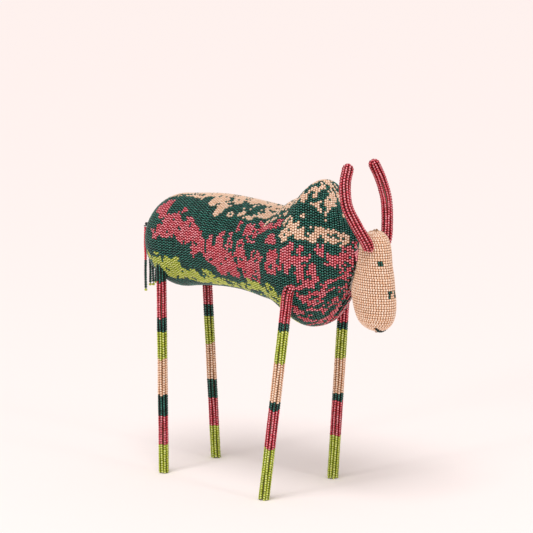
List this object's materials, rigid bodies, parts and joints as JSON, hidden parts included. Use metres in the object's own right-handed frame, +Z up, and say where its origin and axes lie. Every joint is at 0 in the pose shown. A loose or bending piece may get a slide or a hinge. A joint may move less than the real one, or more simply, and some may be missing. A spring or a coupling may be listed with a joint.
{
  "type": "beaded horned animal figure",
  "caption": "Standing four-legged horned animal with a humped back, covered in rows of coloured glass beads sewn on a stuffed cloth body, with curved horns and a tail of bead strands.",
  "frame": {"origin": "on the floor, under the middle of the box round the figure without its hanging tail strands", "axes": "+X forward towards the head, +Y the animal's left, +Z up"},
  "size_m": [0.2679, 0.1028, 0.2896],
  "materials": {
    "lime_beads": "glossy",
    "raspberry_beads": "glossy, silver lined",
    "green_beads": "glossy",
    "peach_beads": "pearl",
    "patterned_beads": "glossy, in several colours",
    "tail_beads": "glossy, red above and green below",
    "cloth": "matt",
    "stuffing": "matt",
    "wire": "plain",
    "thread": "waxed"
  },
  "bodies": {
    "figure": {"barrel_beadwork": "patterned_beads", "eyes": "green_beads", "front_left_foot_lime": "lime_beads", "front_left_knee_lime": "lime_beads", "front_left_lower_cuff_green": "green_beads", "front_left_pastern_red": "raspberry_beads", "front_left_shin_peach": "peach_beads", "front_left_thigh_red": "raspberry_beads", "front_left_upper_cuff_green": "green_beads", "front_leg_wire": "wire", "front_leg_wraps": "cloth", "front_right_foot_lime": "lime_beads", "front_right_knee_lime": "lime_beads", "front_right_lower_cuff_green": "green_beads", "front_right_pastern_red": "raspberry_beads", "front_right_shin_peach": "peach_beads", "front_right_thigh_red": "raspberry_beads", "front_right_upper_cuff_green": "green_beads", "head_beadwork": "peach_beads", "head_cloth": "cloth", "head_stuffing": "stuffing", "horn_wire": "wire", "left_horn_beadwork": "raspberry_beads", "left_horn_wrap": "cloth", "mouth": "green_beads", "neck_wire": "wire", "nostrils": "green_beads", "rear_left_foot_lime": "lime_beads", "rear_left_knee_lime": "lime_beads", "rear_left_lower_cuff_green": "green_beads", "rear_left_pastern_red": "raspberry_beads", "rear_left_shin_peach": "peach_beads", "rear_left_thigh_red": "raspberry_beads", "rear_left_upper_cuff_green": "green_beads", "rear_leg_wire": "wire", "rear_leg_wraps": "cloth", "rear_right_foot_lime": "lime_beads", "rear_right_hip_cuff_green": "green_beads", "rear_right_knee_lime": "lime_beads", "rear_right_lower_cuff_green": "green_beads", "rear_right_pastern_red": "raspberry_beads", "rear_right_shin_peach": "peach_beads", "rear_right_thigh_red": "raspberry_beads", "rear_right_upper_cuff_green": "green_beads", "right_horn_beadwork": "raspberry_beads", "right_horn_wrap": "cloth", "shoulder_beadwork": "patterned_beads", "tail_anchor_stitch": "thread", "torso_cloth": "cloth", "torso_stuffing": "stuffing"},
    "tail_loop": {"tail_loop_bar": "thread"},
    "tail_strand_1_body": {"tail_strand_1": "tail_beads", "tail_tip_1": "lime_beads"},
    "tail_strand_2_body": {"tail_strand_2": "tail_beads", "tail_tip_2": "lime_beads"},
    "tail_strand_3_body": {"tail_strand_3": "tail_beads", "tail_tip_3": "lime_beads"},
    "tail_strand_4_body": {"tail_strand_4": "tail_beads", "tail_tip_4": "lime_beads"}
  },
  "joints": [
    {"name": "tail_sway", "type": "hinge", "parent": "figure", "child": "tail_loop", "pos_m": [-0.1318, -0.00775, 0.212], "axis": [1, 0, 0], "range_deg": [-20, 20]},
    {"name": "tail_strand_1_swing", "type": "hinge", "parent": "tail_loop", "child": "tail_strand_1_body", "pos_m": [-0.1318, -0.0105, 0.21075], "axis": [0, 1, 0], "range_deg": [0, 60]},
    {"name": "tail_strand_2_swing", "type": "hinge", "parent": "tail_loop", "child": "tail_strand_2_body", "pos_m": [-0.1318, -0.005, 0.21075], "axis": [0, 1, 0], "range_deg": [0, 60]},
    {"name": "tail_strand_3_swing", "type": "hinge", "parent": "tail_loop", "child": "tail_strand_3_body", "pos_m": [-0.1318, -0.0012, 0.21075], "axis": [0, 1, 0], "range_deg": [0, 60]},
    {"name": "tail_strand_4_swing", "type": "hinge", "parent": "tail_loop", "child": "tail_strand_4_body", "pos_m": [-0.1318, 0.0026, 0.21075], "axis": [0, 1, 0], "range_deg": [0, 60]}
  ]
}
